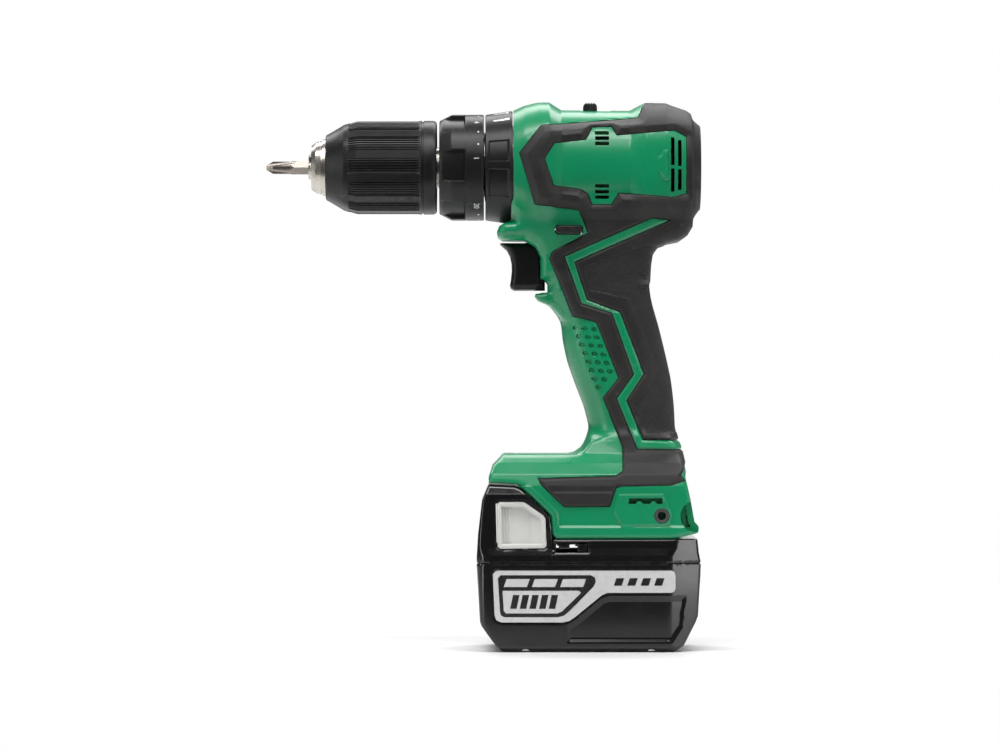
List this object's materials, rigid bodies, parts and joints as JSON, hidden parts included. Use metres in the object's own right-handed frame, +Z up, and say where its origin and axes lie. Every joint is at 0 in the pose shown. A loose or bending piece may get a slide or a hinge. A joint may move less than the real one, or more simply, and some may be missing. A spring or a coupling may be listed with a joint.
{
  "type": "cordless drill",
  "caption": "Pistol-grip cordless drill with a keyless chuck and bit, torque and mode rings, planetary gears, trigger, reversing button and a slide-on battery.",
  "frame": {"origin": "centre of the battery's flat underside", "axes": "+Z up; the chuck points to -X along the spindle axis, 232.3 mm above the origin; +Y is the tool's right side seen from behind, and Y = 0 is the joint between the housing halves"},
  "size_m": [0.2097, 0.076, 0.264],
  "materials": {
    "aluminium": "cast",
    "black_plastic": "moulded",
    "board": "circuit board",
    "brass": "machined",
    "bright_steel": "polished",
    "cell": "sleeved steel can",
    "copper": "enamelled wire",
    "gloss_black": "polished moulded",
    "green_shell": "moulded, fine satin texture",
    "label": "printed film",
    "lens": "clear moulded",
    "light_plastic": "moulded",
    "magnet": "plated",
    "soft_grip": "fine grained",
    "steel": "turned"
  },
  "bodies": {
    "housing": {"left_housing": "green_shell", "right_housing": "green_shell", "left_soft_grip": "soft_grip", "right_soft_grip": "soft_grip", "rear_cap": "soft_grip", "housing_screws": "steel", "gear_case": "aluminium", "gear_case_screws": "steel", "front_bearing": "bright_steel", "fixed_cam": "steel", "ring_gear_1": "steel", "motor_plate": "aluminium", "motor_bearings": "bright_steel", "stator_core": "steel", "windings": "copper", "switch_body": "black_plastic", "controller_board": "board", "terminal_block": "black_plastic", "light_lens": "lens", "light_board": "board", "hook_inserts": "brass", "clutch_spring": "steel"},
    "spindle": {"spindle": "steel", "chuck_body": "bright_steel", "chuck_screw": "steel", "carrier_2": "steel", "turning_cam": "steel"},
    "sleeve": {"chuck_sleeve": "black_plastic"},
    "bit": {"driver_bit": "steel"},
    "carrier_1": {"carrier_1": "steel"},
    "rotor": {"rotor_shaft": "steel", "rotor_magnets": "magnet", "fan": "black_plastic"},
    "torque_ring": {"torque_ring": "black_plastic"},
    "spring_nut": {"spring_nut": "black_plastic"},
    "mode_ring": {"mode_ring": "black_plastic"},
    "speed_selector": {"speed_knob": "black_plastic", "ring_gear_2": "steel"},
    "reversing_button": {"reversing_button": "black_plastic"},
    "trigger": {"trigger": "black_plastic"},
    "battery": {"lower_case": "gloss_black", "upper_case": "gloss_black", "cells": "cell", "cell_holder": "black_plastic", "battery_board": "board", "battery_contacts": "brass", "case_screws": "steel", "label_left": "label", "label_right": "label"},
    "latch_left": {"latch_left": "light_plastic"},
    "latch_right": {"latch_right": "light_plastic"},
    "jaw_a": {"jaw_a": "bright_steel"},
    "jaw_b": {"jaw_b": "bright_steel"},
    "jaw_c": {"jaw_c": "bright_steel"},
    "planet_2a": {"planet_2a": "steel"},
    "planet_1a": {"planet_1a": "steel"},
    "planet_2b": {"planet_2b": "steel"},
    "planet_1b": {"planet_1b": "steel"},
    "planet_2c": {"planet_2c": "steel"},
    "planet_1c": {"planet_1c": "steel"}
  },
  "joints": [
    {"name": "spindle_spin", "type": "hinge", "parent": "housing", "child": "spindle", "pos_m": [-0.08, 0, 0.2323], "axis": [1, 0, 0], "continuous": true},
    {"name": "sleeve_turn", "type": "hinge", "parent": "spindle", "child": "sleeve", "pos_m": [-0.1, 0, 0.2323], "axis": [1, 0, 0], "range_deg": [0, 2880]},
    {"name": "jaw_a_slide", "type": "slide", "parent": "spindle", "child": "jaw_a", "axis": [0.9659, 0, 0.2588], "range_m": [0, 0.0129]},
    {"name": "jaw_b_slide", "type": "slide", "parent": "spindle", "child": "jaw_b", "axis": [0.9659, -0.2241, -0.1294], "range_m": [0, 0.0129]},
    {"name": "jaw_c_slide", "type": "slide", "parent": "spindle", "child": "jaw_c", "axis": [0.9659, 0.2241, -0.1294], "range_m": [0, 0.0129]},
    {"name": "bit_pull", "type": "slide", "parent": "spindle", "child": "bit", "axis": [-1, 0, 0], "range_m": [0, 0.055]},
    {"name": "planet_2a_spin", "type": "hinge", "parent": "spindle", "child": "planet_2a", "pos_m": [-0.0205, 0.0108, 0.2323], "axis": [1, 0, 0], "continuous": true},
    {"name": "planet_1a_spin", "type": "hinge", "parent": "carrier_1", "child": "planet_1a", "pos_m": [-0.0035, 0.0108, 0.2323], "axis": [1, 0, 0], "continuous": true},
    {"name": "planet_2b_spin", "type": "hinge", "parent": "spindle", "child": "planet_2b", "pos_m": [-0.0205, -0.0054, 0.24165], "axis": [1, 0, 0], "continuous": true},
    {"name": "planet_1b_spin", "type": "hinge", "parent": "carrier_1", "child": "planet_1b", "pos_m": [-0.0035, -0.0054, 0.24165], "axis": [1, 0, 0], "continuous": true},
    {"name": "planet_2c_spin", "type": "hinge", "parent": "spindle", "child": "planet_2c", "pos_m": [-0.0205, -0.0054, 0.22295], "axis": [1, 0, 0], "continuous": true},
    {"name": "planet_1c_spin", "type": "hinge", "parent": "carrier_1", "child": "planet_1c", "pos_m": [-0.0035, -0.0054, 0.22295], "axis": [1, 0, 0], "continuous": true},
    {"name": "carrier_1_spin", "type": "hinge", "parent": "housing", "child": "carrier_1", "pos_m": [-0.01, 0, 0.2323], "axis": [1, 0, 0], "continuous": true},
    {"name": "rotor_spin", "type": "hinge", "parent": "housing", "child": "rotor", "pos_m": [0.025, 0, 0.2323], "axis": [1, 0, 0], "continuous": true},
    {"name": "torque_turn", "type": "hinge", "parent": "housing", "child": "torque_ring", "pos_m": [-0.06, 0, 0.2323], "axis": [1, 0, 0], "range_deg": [0, 304]},
    {"name": "spring_nut_slide", "type": "slide", "parent": "housing", "child": "spring_nut", "axis": [1, 0, 0], "range_m": [0, 0.0051], "deforming": ["clutch_spring"]},
    {"name": "mode_turn", "type": "hinge", "parent": "housing", "child": "mode_ring", "pos_m": [-0.042, 0, 0.2323], "axis": [1, 0, 0], "range_deg": [-42, 0]},
    {"name": "speed_slide", "type": "slide", "parent": "housing", "child": "speed_selector", "axis": [1, 0, 0], "range_m": [0, 0.005]},
    {"name": "reverse_slide", "type": "slide", "parent": "housing", "child": "reversing_button", "axis": [0, 1, 0], "range_m": [-0.003, 0.003]},
    {"name": "trigger_pull", "type": "slide", "parent": "housing", "child": "trigger", "axis": [1, 0, 0], "range_m": [0, 0.008], "stiffness_N_per_m": 400, "springref_m": -0.006},
    {"name": "battery_slide", "type": "slide", "parent": "housing", "child": "battery", "axis": [-1, 0, 0], "range_m": [0, 0.11]},
    {"name": "latch_left_press", "type": "slide", "parent": "battery", "child": "latch_left", "axis": [0, 1, 0], "range_m": [0, 0.003], "stiffness_N_per_m": 600, "springref_m": -0.003},
    {"name": "latch_right_press", "type": "slide", "parent": "battery", "child": "latch_right", "axis": [0, -1, 0], "range_m": [0, 0.003], "stiffness_N_per_m": 600, "springref_m": -0.003}
  ],
  "couplings": [
    {"joint": "jaw_a_slide", "follows": "sleeve_turn", "m_per_rad": 0.00025465},
    {"joint": "jaw_b_slide", "follows": "sleeve_turn", "m_per_rad": 0.00025465},
    {"joint": "jaw_c_slide", "follows": "sleeve_turn", "m_per_rad": 0.00025465},
    {"joint": "planet_2a_spin", "follows": "spindle_spin", "ratio": -2.8},
    {"joint": "planet_1a_spin", "follows": "spindle_spin", "ratio": -12.6},
    {"joint": "planet_2b_spin", "follows": "spindle_spin", "ratio": -2.8},
    {"joint": "planet_1b_spin", "follows": "spindle_spin", "ratio": -12.6},
    {"joint": "planet_2c_spin", "follows": "spindle_spin", "ratio": -2.8},
    {"joint": "planet_1c_spin", "follows": "spindle_spin", "ratio": -12.6},
    {"joint": "carrier_1_spin", "follows": "spindle_spin", "ratio": 4.5},
    {"joint": "rotor_spin", "follows": "spindle_spin", "ratio": 20.25},
    {"joint": "spring_nut_slide", "follows": "torque_turn", "m_per_rad": 0.00094237}
  ]
}
